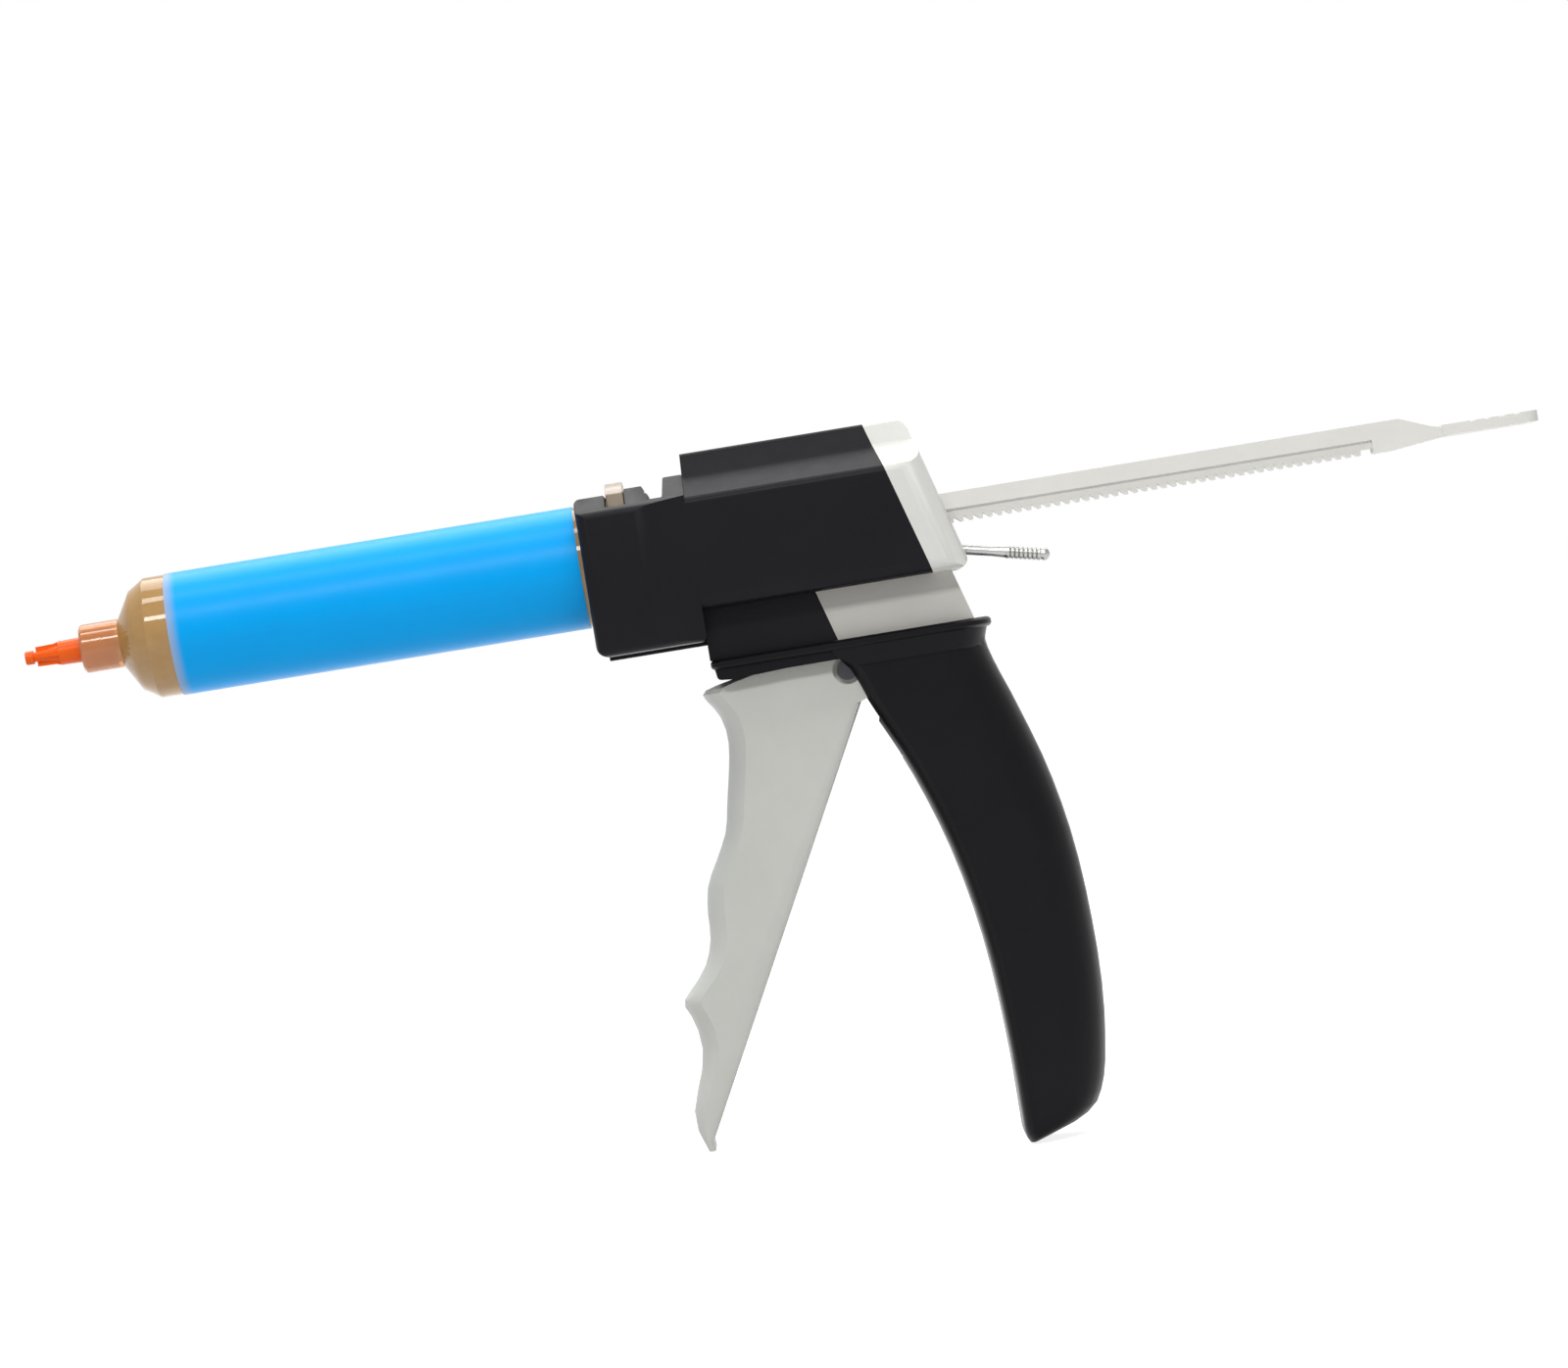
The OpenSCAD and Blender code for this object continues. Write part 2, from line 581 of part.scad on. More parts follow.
// Front and back of the grip against the share of its length below the rim,
// as shares of the front's sweep and of the back's bulge
grip_front = [[0, 0], [0.018, 0.05], [0.049, 0.16], [0.116, 0.275], [0.25, 0.539], [0.42, 0.78], [0.6, 0.927],
              [0.8, 0.992], [1, 1]];
grip_back = [[0, 0], [0.06, 0.078], [0.16, 0.357], [0.3, 0.698], [0.45, 0.915], [0.62, 1], [0.75, 0.977],
             [0.86, 0.86], [0.907, 0.767], [0.947, 0.612], [0.963, 0.457], [0.977, 0.225], [0.992, -0.155], [1, -0.388]];
function grip_front_at(u) = pivot_x - 4 + grip_sweep * smooth(grip_front, u);
function grip_back_at(u) = rim_end_x - 2.2 + grip_bulge * smooth(grip_back, u);
grip_cuts = [1, 0.996, 0.99, 0.977, 0.963, 0.947, 0.925, 0.9, 0.87, 0.83, 0.78, 0.72, 0.66, 0.6, 0.54, 0.48, 0.42,
             0.37, 0.32, 0.27, 0.22, 0.18, 0.14, 0.105, 0.075, 0.05, 0.025, 0];

// One slice of the grip; its sides draw in over the rounded butt
function grip_slice(u) =
    let (butt = max(0, u - 0.97) / 0.03)
    bevelled_slice(rim_top - 1 - (grip_len - 1) * u, grip_front_at(u) + 0.9 * pow(butt, 3), grip_back_at(u),
                   grip_w / 2 - 0.6 * sin(180 * u) - 2.6 * pow(butt, 3), 3 - 1.3 * u, 10);

module grip() {
    color([0.13, 0.13, 0.14]) difference() {
        union() {
            loft([for (u = grip_cuts) grip_slice(u)]);
            // rim, with a rounded bead all round
            loft([for (i = [len(bead) - 1:-1:0])
                  slice(rim_top - bead[i][0], neck_x + bead[i][1], rim_end_x - bead[i][1], rim_w / 2 - bead[i][1],
                        2.2, rim_w / 2 - 3, 6)]);
            // step under the front of the rim, deepest near its front end
            intersection() {
                across(rounded([[neck_x + 0.6, grip_top + 0.5, 0], [neck_x + 1, step_low - 0.5, 0.8],
                                [neck_x + 4.2, step_low - 0.8, 3], [neck_x + 15, step_low - 0.3, 6],
                                [pivot_x + 3, step_low - 0.2, 0], [pivot_x + 3, grip_top + 0.5, 0]]), rim_w);
                upright(rounded([[neck_x + 0.4, -rim_w / 2 + 1, 2], [reach, -rim_w / 2 + 1, 0],
                                 [reach, rim_w / 2 - 1, 0], [neck_x + 0.4, rim_w / 2 - 1, 2]]), band_low, rim_top);
            }
            // band under the rest of the rim, which draws in towards the grip
            difference() {
                loft([for (b = band) slice(grip_top + 0.3 - b[0], pivot_x - 2.6, rim_end_x - b[2],
                                           grip_w / 2 + b[1], 0.5, rim_w / 2 - 3, 6)]);
                across([[pivot_x - 4, pivot_z + 4.6], [pivot_x + 1.4, pivot_z + 0.6], [pivot_x + 1.4, -reach],
                        [pivot_x - 4, -reach]], rim_w);
            }
        }
        // room for the trigger's hub, its arm and the lugs
        across([[pivot_x, pivot_z + 8], [pivot_x, pivot_z], [pivot_x - 30, pivot_z], [pivot_x - 30, band_low - 20],
                [pivot_x + 4.6, pivot_z - 13], [pivot_x + 5.4, pivot_z - 9.5], [pivot_x + 5.6, pivot_z - 5.6],
                [pivot_x + 8, pivot_z]], trigger_w + 2 * slip);
        rod_y(cheek_r + 1, [pivot_x, pivot_z], -trigger_w / 2 - slip, trigger_w / 2 + slip);
        translate([neck_x + 0.4, -trigger_w / 2 - slip, band_low - 1])
            cube([pivot_x - neck_x, trigger_w + 2 * slip, trigger_top + slip - band_low + 1]);
        translate([38, -neck_in + 0.5, -reach]) cube([frame_front + nest - 38, 2 * neck_in - 1, reach]);
        // socket for the frame's tang, and the screw's pilot hole
        translate([tang_x[0] - nest, -tang_half - nest, rim_top - tang_len - nest])
            cube([tang_x[1] - tang_x[0] + 2 * nest, 2 * (tang_half + nest), tang_len + 1]);
        translate([grip_screw_x, 0, rim_top - tang_len - 12]) cylinder(r = grip_screw_r, h = reach);
    }
}

module grip_screw() {
    color("silver") difference() {
        union() {
            translate([grip_screw_x, 0, rim_top - tang_len - 11]) cylinder(r = grip_screw_r - 0.02, h = tang_len + 14.1);
            translate([grip_screw_x, 0, rim_top + 3.02]) cylinder(r = 3, h = 2.2);
        }
        for (q = [0, 90]) translate([grip_screw_x, 0, rim_top + 5.2]) rotate([0, 0, q]) cube([3.2, 0.7, 1.6], center = true);
    }
}

// ---- Trigger ----

module pivot_pin() {
    color([0.6, 0.6, 0.62]) {
        rod_y(pivot_d / 2, [pivot_x, pivot_z], -head_y + 0.1, head_y - 0.1);
        both_sides() difference() {
            rod_y(head_r, [pivot_x, pivot_z], head_y - head_t, head_y);
            rod_y(head_r - 0.8, [pivot_x, pivot_z], head_y - 0.7, head_y + 1);
        }
    }
}

// How far the trigger's front edge stands ahead of the pivot, by depth below its top
trigger_top = rim_top - 3.75;
trigger_front = [[0, 20.6], [0.5, 22.8], [1.3, 26.6], [2, 29], [2.9, 29.8], [4, 29.3], [6, 27.9],
                 [9, 26.6], [13, 26.2], [18, 26.9], [25, 28.4], [31, 29.7], [36, 32.2], [41, 34.9],
                 [46, 35.9], [52, 36.3], [57, 38], [60.5, 40.6], [64, 43.7], [67, 42.7], [72, 41.5],
                 [77, 42], [82, 43.8], [88, 45.3], [94.4, 43.3]];
back_top = [1.5, -9.8];         // straight back edge: distance behind the pivot, and depth below the top
back_run = 0.527;
profile_end = trigger_front[len(trigger_front) - 1][0];
stretch = (trigger_len + pivot_depth + trigger_top) / profile_end;
function trigger_back(d) = pivot_x + back_top[0] - (d / stretch + back_top[1]) * back_run;
function trigger_front_at(d) = pivot_x - smooth(trigger_front, d);

function trigger_slice(d, w) =
    let (x0 = trigger_front_at(d / stretch))
    bevelled_slice(trigger_top - d, x0, max(trigger_back(d), x0 + 1.4), w, 3.6, 1.2, 2);

depths = concat([0, 0.5, 1.3, 2, 2.9, 4, 6], [for (d = [8:2.6:60]) d],
                [62, 63.5, 65, 67, 70, 74, 78, 82, 86, 90, 92.5, profile_end]);

// Flat bar between two bosses
module link(a, ra, b, rb, half) {
    n = [-(b - a)[1], (b - a)[0]] / norm(b - a);
    rod_y(ra, a, -half, half);
    rod_y(rb, b, -half, half);
    across([a + n * ra, b + n * rb, b - n * rb, a - n * ra], 2 * half);
}

module trigger() {
    color([0.78, 0.78, 0.75]) difference() {
        union() {
            difference() {
                union() {
                    loft([for (i = [len(depths) - 1:-1:0]) trigger_slice(depths[i] * stretch, trigger_w / 2)]);
                    // cheeks round the pivot, flat on top under the rim
                    intersection() {
                        rod_y(cheek_r, [pivot_x, pivot_z], -trigger_w / 2, trigger_w / 2);
                        translate([0, -reach, pivot_z - reach]) cube([2 * reach, 2 * reach, reach + cheek_top]);
                    }
                }
                // hollow back, closed by the front wall and the cheeks
                loft([for (d = [84, 74, 66, 60, 52, 44, 36, 28, 20, 13])
                      slice(trigger_top - d * stretch, trigger_front_at(d) + 4 - max(0, d - 60) * 0.06,
                            trigger_back(d * stretch) + 6, trigger_w / 2 - 2.6, 2, 0.2)]);
                // slots that the frame's lugs run in
                both_sides() translate([pivot_x - cheek_in, arm_half, pivot_z - cheek_r - 0.2])
                    cube([reach, cheek_in - arm_half, reach]);
                translate([pivot_x - cheek_in, -arm_half - 1, pivot_z - cheek_r - 0.2])
                    cube([reach, 2 * arm_half + 2, reach]);
            }
            // hub and drive arm
            link([pivot_x, pivot_z], hub_r, arm_pin, 3.4, arm_half);
            across([[pivot_x - cheek_in - 2, pivot_z - 6], [pivot_x - cheek_in - 2, pivot_z + 2],
                    [pivot_x, pivot_z + 5], [pivot_x, pivot_z - 6]], 2 * arm_half);
            // ribs across the hollow back
            for (d = [24, 42, 60]) translate([trigger_front_at(d) + 3, 1 - trigger_w / 2, trigger_top - d * stretch])
                rotate([0, 28, 0]) cube([trigger_back(d * stretch) - trigger_front_at(d) - 5.5, trigger_w - 2, 1.6]);
        }
        rod_y(pivot_d / 2 + run, [pivot_x, pivot_z], -reach, reach);
        // recesses for the pin's heads
        both_sides() rod_y(head_r + 0.9, [pivot_x, pivot_z], head_y - head_t - 0.1, reach);
        // fork for the pawl
        translate([arm_pin[0] - 12, -pawl_half - 0.15, arm_pin[1] - 4.8]) cube([24, 2 * pawl_half + 0.3, 24]);
        rod_y(pawl_pin_d / 2, arm_pin, -reach, reach);
    }
}

spring_z = -14.1;
spring_end = pivot_x + (spring_z - pivot_z) * tan(swing) - 5.6;
module trigger_spring() {
    color("silver") translate([neck_x + wall + 0.1, 0, spring_z]) rotate([0, 90, 0])
        coil(spring_end - neck_x - wall, 5.6, 0.8, 9);
}

// ---- Pawls ----

nose_z = rack_low - pawl_gap;
module drive_pawl() {
    tip = [arm_pin[0] - 5.8, nose_z];
    color([0.62, 0.62, 0.64]) difference() {
        union() {
            rod_y(2.4, arm_pin, -pawl_half, pawl_half);
            across([arm_pin + [0.6, 2.3], tip + [0.4, 0], tip + [-0.1, -0.2], tip + [-1.3, -1.1], tip + [-1.2, -2.2],
                    arm_pin + [-1.6, -1.8]], 2 * pawl_half);
        }
        rod_y(pawl_pin_d / 2 + run, arm_pin, -reach, reach);
    }
}
module drive_pawl_pin() {
    color("silver") rod_y(pawl_pin_d / 2, arm_pin, -arm_half, arm_half);
}
module drive_pawl_spring() {
    color("silver") translate([arm_pin[0] - 3.6, 0, arm_pin[1] - 4.7]) coil(3.5, 2.6, 0.4, 4);
}

module release_pawl() {
    q = release_pivot;
    color([0.62, 0.62, 0.64]) difference() {
        union() {
            rod_y(release_r, q, -release_half, release_half);
            across([q + [0, release_r], q + [5.9, 2.5], [q[0] + 7.1, rack_low - 0.3], [q[0] + 7.7, rack_low - 0.3],
                    q + [8.7, 2.6], q + [11.5, 1.6], q + [11.5, -1.4], q + [6.1, -1.2], q + [5.8, 0.6], q + [2.4, 0.6],
                    q + [2.2, -2], q + [0, -release_r]], 2 * release_half);
        }
        rod_y(pawl_pin_d / 2 + run, q, -reach, reach);
        release_place() cylinder(r = release_d / 2, h = 2 * release_len, center = true);
    }
}
module release_pawl_pin() {
    color("silver") rod_y(pawl_pin_d / 2, release_pivot, -rib_out, rib_out);
}
// Axis of the release pin, with +Z along it
module release_place() {
    translate([release_axis[0], 0, release_axis[1]]) rotate([0, 90 + release_lean, 0]) children();
}
module release_pin() {
    grip_at = 9;                // length of the serrated end
    ring = 0.9;
    color([0.7, 0.7, 0.7]) release_place() translate([0, 0, -release_start]) rotate_extrude()
        polygon(concat([[0, 0], [release_d / 2, 0], [release_d / 2, release_len - grip_at - 3],
                        [release_end_d / 2 - 0.1, release_len - grip_at]],
                       [for (i = [0:7]) each [[release_end_d / 2, release_len - grip_at + ring * (i + 0.2)],
                                              [release_end_d / 2, release_len - grip_at + ring * (i + 0.7)],
                                              [release_end_d / 2 - 0.2, release_len - grip_at + ring * (i + 0.95)]]],
                       [for (a = [0:15:90]) [release_end_d / 2 * cos(a) * 0.98, release_len - 1.2 + 1.2 * sin(a)]]));
}
module release_spring() {
    color("silver") translate([release_pivot[0] + 4.1, 0, -in_floor + 0.02])
        coil(in_floor + release_pivot[1] + 0.54, 2.6, 0.4, 3);
}

// ---- Rack ----

module rack() {
    x1 = rack_x + rack_len;
    teeth_end = tooth_x + tooth_count * tooth_pitch;
    color([0.9, 0.89, 0.86]) difference() {
        union() {
            // rail, with the taper down to the tab
            intersection() {
                across(rounded([[rack_x, step_z, 0], [x1 - 15, step_z - 0.01, 0], [x1 - 15, rack_low, 0.5], [x1 - 11, rack_low, 1],
                                [x1, rack_low + 1.2, 0], [x1, rack_low + 2.6, 0], [x1 - 3.5, rack_low + 3.8, 0],
                                [x1 - 9, rack_top, 2], [rack_x, rack_top, 0]]), tab_w);
                upright([[rack_x, -rack_w / 2], [x1 - 9, -rack_w / 2], [x1, -tab_w / 2], [x1, tab_w / 2],
                         [x1 - 9, rack_w / 2], [rack_x, rack_w / 2]], -reach, reach);
            }
            // teeth
            across(concat([[rack_x, step_z], [rack_x, tooth_root], [tooth_x, tooth_root]],
                          [for (i = [0:tooth_count - 1]) let (x = tooth_x + i * tooth_pitch)
                           each [[x + tooth_pitch * 0.7, rack_low], [x + tooth_pitch * 0.95, rack_low],
                                 [x + tooth_pitch, tooth_root]]],
                          [[x1 - 15 + eps, tooth_root], [x1 - 15 + eps, step_z]]), tooth_w);
            // pull tab
            translate([0, 0, rack_low + 1.2]) linear_extrude(2.2) polygon(rounded([
                [x1 - 1, -tab_w / 2, 0], [x1 + tab_len, -tab_w / 2, 2.5], [x1 + tab_len, tab_w / 2, 2.5], [x1 - 1, tab_w / 2, 0]]));
            rod_x(2.4, pusher_x + 0.8, rack_x + 0.2);
        }
        rod_x(0.9, pusher_x, rack_x + 6);
        // grooves across the tab for the fingers
        for (i = [0:3]) translate([x1 + tab_len - 5 - i * 3, -tab_w, rack_low + 3.1]) cube([1.2, 2 * tab_w, 1]);
    }
}
module pusher() {
    r = pusher_d / 2;
    color([0.9, 0.89, 0.86]) difference() {
        lathe([[pusher_x, 0], [pusher_x, r - 1], [pusher_x + 0.5, r], [rack_x - 0.4, r], [rack_x, r - 0.4], [rack_x, 0]]);
        rod_x(2.45, pusher_x + 0.75, rack_x + 1);
        rod_x(1.2, pusher_x - 1, rack_x);
    }
}
module pusher_screw() {
    color("silver") {
        rod_x(0.88, pusher_x + 0.1, rack_x + 5.5);
        difference() {
            rod_x(1.15, pusher_x + 0.02, pusher_x + 0.7);
            translate([pusher_x, 0, 0]) cube([0.4, 0.3, 1.6], center = true);
        }
    }
}

// ---- Cartridge ----

cone_r = barrel_r - 2.1;
module barrel() {
    color([0.75, 0.6, 0.4, 0.6]) difference() {
        union() {
            lathe(concat([[collar_front, 0], [collar_front, collar_od / 2 - 0.5], [collar_front + 0.5, collar_od / 2],
                          [collar_back, collar_od / 2], [barrel_front - 3.3, cone_r]],
                         [for (a = [30:15:90]) [barrel_front - 3.3 + 3.3 * sin(a) + 0, cone_r - 1 + 0.9 + 2.2 * sin(a)]],
                         [[barrel_back, barrel_r], [barrel_back, 0]]));
            // flange with two ears
            intersection() {
                rod_x(ear_r, flange_x, barrel_back);
                translate([flange_x - 1, -ear_half, -ear_r - 1]) cube([flange_t + 2, 2 * ear_half, 2 * ear_r + 2]);
            }
            rod_x(barrel_r + 0.5, flange_x, barrel_back);
        }
        // bore, cone, outlet and the room round the luer nose
        lathe([[barrel_back + 1, 0], [barrel_back + 1, bore_r], [barrel_front, bore_r], [barrel_front - 2.6, bore_r - 2.2],
               [collar_back + 0.6, nose_bore / 2], [collar_front - 5, nose_bore / 2], [collar_front - 5, 0]]);
        difference() {
            rod_x(collar_od / 2 - collar_wall, collar_front - 1, collar_back - 1.2);
            rod_x(nose_d / 2, collar_front - 2, collar_back);
        }
        rod_x(collar_od / 2 - collar_wall, collar_front - 1, collar_back - nose_len);
    }
}
module label_sleeve() {
    color([0.0, 0.6, 0.92]) difference() {
        rod_x(barrel_r + label_t, label_front, label_back);
        rod_x(barrel_r, label_front - 1, label_back + 1);
    }
}
module gel_column() {
    color([0.72, 0.5, 0.25]) rod_x(bore_r - 0.04, barrel_front, gel_back - 0.1);
}
module gel_nose() {
    color([0.72, 0.5, 0.25]) lathe([[barrel_front, 0], [barrel_front, bore_r - 0.04], [barrel_front - 2.6, bore_r - 2.24],
                                    [collar_back + 0.6, nose_bore / 2 - 0.04], [collar_back - nose_len + 0.3, nose_bore / 2 - 0.04],
                                    [collar_back - nose_len + 0.3, 0]]);
}
module piston() {
    r = bore_r - run;
    color([0.92, 0.9, 0.86]) lathe([[gel_back, 0], [gel_back, r - 0.8], [gel_back + 1, r], [gel_back + 3.5, r], [gel_back + 3.7, r - 1.2],
                                    [gel_back + 6.3, r - 1.2], [gel_back + 6.5, r], [piston_back - 1, r], [piston_back - 0.2, r - 0.5],
                                    [piston_back - 0.2, r - 2.5], [gel_back + 5, r - 2.5], [gel_back + 5, 0]]);
}
module piston_seal() {
    r = bore_r - run;
    color([0.2, 0.2, 0.22]) lathe([[gel_back + 3.8, r - 1.15], [gel_back + 4.2, r - 0.25], [gel_back + 5, r], [gel_back + 5.8, r - 0.25],
                                   [gel_back + 6.2, r - 1.15]]);
}

// ---- Tip cap ----

cap_back = collar_back - nose_len + 4.6;
cap_front = cap_back - cap_len;
module tip_cap() {
    r = cap_d / 2;
    e = cap_end_d / 2;
    color([0.97, 0.38, 0.1]) difference() {
        union() {
            lathe([[cap_front, 0], [cap_front, e - 0.15], [cap_front + 0.15, e], [cap_front + 1.7, e], [cap_front + 1.7, e * 0.7],
                   [cap_front + 7, r * 0.62], [cap_front + 7, r - 0.25], [cap_back, r], [cap_back, 0]]);
            // four fins
            for (q = [0, 90]) rotate([q, 0, 0]) across([[cap_front + 2.3, -2], [cap_front + 6, -2.1], [cap_front + 7.5, -r + 0.2],
                    [cap_front + 7.5, r - 0.2], [cap_front + 6, 2.1], [cap_front + 2.3, 2]], 0.8);
        }
        rod_x(nose_d / 2 + run, collar_back - nose_len - 0.6, cap_back + 1);
    }
}

housing_left();
housing_right();
rear_frame();
grip();
housing_screws();
grip_screw();
pivot_pin();
trigger();
trigger_spring();
drive_pawl();
drive_pawl_pin();
drive_pawl_spring();
release_pawl();
release_pawl_pin();
release_pin();
release_spring();
rack();
pusher();
pusher_screw();
barrel();
label_sleeve();
gel_column();
gel_nose();
piston();
piston_seal();
tip_cap();
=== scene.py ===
import json
import math

import bmesh
import bpy
from mathutils import Matrix, Vector

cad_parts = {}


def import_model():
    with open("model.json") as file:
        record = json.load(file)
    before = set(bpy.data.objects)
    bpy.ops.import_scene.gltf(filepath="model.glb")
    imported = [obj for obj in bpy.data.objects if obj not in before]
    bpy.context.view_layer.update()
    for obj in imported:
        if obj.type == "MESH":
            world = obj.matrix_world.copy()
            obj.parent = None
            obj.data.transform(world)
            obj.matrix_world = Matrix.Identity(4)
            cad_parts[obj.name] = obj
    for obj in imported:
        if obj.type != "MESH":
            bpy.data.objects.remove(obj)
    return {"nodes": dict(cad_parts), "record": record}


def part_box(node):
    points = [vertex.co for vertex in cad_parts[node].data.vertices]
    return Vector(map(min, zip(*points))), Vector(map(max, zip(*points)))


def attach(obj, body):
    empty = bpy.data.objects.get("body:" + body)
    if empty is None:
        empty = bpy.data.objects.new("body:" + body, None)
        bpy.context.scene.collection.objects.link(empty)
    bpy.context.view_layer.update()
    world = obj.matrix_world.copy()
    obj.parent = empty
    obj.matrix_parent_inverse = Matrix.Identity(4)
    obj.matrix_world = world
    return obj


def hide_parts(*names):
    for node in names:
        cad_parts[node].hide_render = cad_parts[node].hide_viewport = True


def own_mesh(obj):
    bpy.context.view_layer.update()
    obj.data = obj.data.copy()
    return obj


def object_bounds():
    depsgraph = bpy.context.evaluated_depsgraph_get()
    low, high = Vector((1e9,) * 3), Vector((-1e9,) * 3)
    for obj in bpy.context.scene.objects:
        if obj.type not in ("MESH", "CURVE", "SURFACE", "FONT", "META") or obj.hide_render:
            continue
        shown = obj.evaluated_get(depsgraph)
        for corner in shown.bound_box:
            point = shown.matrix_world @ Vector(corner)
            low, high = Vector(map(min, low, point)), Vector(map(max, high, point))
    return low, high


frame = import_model()
NODES = frame["nodes"]
BODY = {n: b for b, ns in frame["record"]["behaviour"]["bodies"].items() for n in ns}
SLOT = {s["node"]: s["material_slot"] for s in frame["record"]["subparts"]}
MM = 0.001

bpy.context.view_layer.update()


# ---- Materials ----

def node_of(tree, kind, **values):
    n = tree.nodes.new(kind)
    for key, value in values.items():
        setattr(n, key, value)
    return n


def noise(tree, coord, scale, detail=2.0, rough=0.5):
    n = node_of(tree, "ShaderNodeTexNoise")
    n.inputs["Scale"].default_value = scale
    n.inputs["Detail"].default_value = detail
    n.inputs["Roughness"].default_value = rough
    tree.links.new(coord, n.inputs["Vector"])
    return n.outputs["Fac"]


def moulded(name, low, high, rough=0.5, spec=0.5, grain=0.1, grain_scale=2600.0, rough_vary=0.06,
            patch_scale=60.0, **sockets):
    """A moulded plastic: two near colours in soft patches, uneven gloss, and a fine grain."""
    m = bpy.data.materials.new(name)
    m.use_nodes = True
    t = m.node_tree
    b = t.nodes["Principled BSDF"]
    coord = node_of(t, "ShaderNodeTexCoord").outputs["Object"]
    ramp = node_of(t, "ShaderNodeValToRGB")
    ramp.color_ramp.elements[0].position = 0.3
    ramp.color_ramp.elements[0].color = (*low, 1)
    ramp.color_ramp.elements[1].position = 0.7
    ramp.color_ramp.elements[1].color = (*high, 1)
    t.links.new(noise(t, coord, patch_scale, 6.0, 0.65), ramp.inputs["Fac"])
    t.links.new(ramp.outputs["Color"], b.inputs["Base Color"])
    span = node_of(t, "ShaderNodeMapRange")
    span.inputs["To Min"].default_value = rough - rough_vary
    span.inputs["To Max"].default_value = rough + rough_vary
    t.links.new(noise(t, coord, 300.0, 3.0), span.inputs["Value"])
    t.links.new(span.outputs["Result"], b.inputs["Roughness"])
    if grain:
        bump = node_of(t, "ShaderNodeBump")
        bump.inputs["Strength"].default_value = grain
        bump.inputs["Distance"].default_value = 0.0001
        t.links.new(noise(t, coord, grain_scale, 3.0), bump.inputs["Height"])
        t.links.new(bump.outputs["Normal"], b.inputs["Normal"])
    b.inputs["Specular IOR Level"].default_value = spec
    for key, value in sockets.items():
        b.inputs[key.replace("_", " ")].default_value = value
    return m


def pale_edge(m, x, width, pale):
    """Lets a material run out into a paler colour from x + width down to x along the object."""
    t = m.node_tree
    b = t.nodes["Principled BSDF"]
    base = b.inputs["Base Color"].links[0].from_socket
    split = node_of(t, "ShaderNodeSeparateXYZ")
    t.links.new(node_of(t, "ShaderNodeTexCoord").outputs["Object"], split.inputs[0])
    span = node_of(t, "ShaderNodeMapRange", interpolation_type="SMOOTHSTEP")
    span.inputs["From Min"].default_value = x
    span.inputs["From Max"].default_value = x + width
    t.links.new(split.outputs["X"], span.inputs["Value"])
    mix = node_of(t, "ShaderNodeMix", data_type="RGBA")
    mix.inputs["A"].default_value = (*pale, 1)
    t.links.new(span.outputs["Result"], mix.inputs["Factor"])
    t.links.new(base, mix.inputs["B"])
    t.links.new(mix.outputs["Result"], b.inputs["Base Color"])


def subsurface(m, reach):
    """Sets how far red, green and blue light runs under the surface, in metres."""
    m.node_tree.nodes["Principled BSDF"].inputs["Subsurface Radius"].default_value = reach


BLACK = moulded("black_housing", (0.0070, 0.0062, 0.0082), (0.0096, 0.0086, 0.011), 0.38, 0.10, 0.20)
GRIP = moulded("black_grip", (0.0050, 0.0045, 0.0056), (0.0072, 0.0066, 0.0082), 0.33, 0.10, 0.10)
LIGHT = moulded("light_grey", (0.70, 0.70, 0.66), (0.75, 0.75, 0.71), 0.38, 0.4, 0.06)
TRIGGER = moulded("trigger_grey", (0.57, 0.57, 0.53), (0.61, 0.61, 0.57), 0.42, 0.35, 0.10)
WHITE = moulded("rack_white", (0.76, 0.75, 0.71), (0.81, 0.80, 0.75), 0.40, 0.4, 0.05)
BLUE = moulded("blue_film", (0.0, 0.385, 0.91), (0.0, 0.41, 0.96), 0.34, 0.12, 0.02, 900.0, 0.04)
AMBER = moulded("amber_gel", (0.40, 0.24, 0.065), (0.58, 0.38, 0.13), 0.25, 0.3, 0.0, patch_scale=140.0,
                Subsurface_Weight=0.4)
subsurface(AMBER, (0.004, 0.002, 0.001))
RUBBER = moulded("seal_rubber", (0.012, 0.012, 0.012), (0.02, 0.02, 0.02), 0.5, 0.4, 0.1)
ORANGE = moulded("cap_orange", (0.88, 0.11, 0.002), (0.95, 0.145, 0.006), 0.30, 0.2, 0.03, Subsurface_Weight=0.25)
subsurface(ORANGE, (0.003, 0.001, 0.0005))
# milky polypropylene with the gel behind it, and its two ends where there is less or no gel
CLEAR = moulded("milky_barrel", (0.42, 0.225, 0.055), (0.54, 0.31, 0.10), 0.07, 0.5, 0.0, rough_vary=0.02,
                patch_scale=110.0, Transmission_Weight=0.12)
COLLAR = moulded("milky_collar", (0.70, 0.26, 0.07), (0.74, 0.32, 0.11), 0.07, 0.5, 0.0, rough_vary=0.02,
                 Transmission_Weight=0.45)
FLANGE = moulded("milky_flange", (0.50, 0.40, 0.30), (0.60, 0.50, 0.39), 0.22, 0.4, 0.0, Transmission_Weight=0.35)
# a darker grey for the neck under the body: painted shade standing in for the shadow of the overhang
SHADED_NECK = moulded("neck_painted_shade", (0.56, 0.54, 0.50), (0.61, 0.59, 0.55), 0.42, 0.35, 0.06)
STEEL = moulded("steel", (0.30, 0.30, 0.29), (0.42, 0.42, 0.41), 0.28, 0.5, 0.05, Metallic=1.0)
DARK = moulded("dark_steel", (0.045, 0.045, 0.05), (0.07, 0.07, 0.075), 0.32, 0.5, 0.05, Metallic=1.0)
# the film is see-through along its front edge
pale_edge(BLUE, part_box("label_sleeve")[0][0], 2.6 * MM, (0.32, 0.44, 0.66))

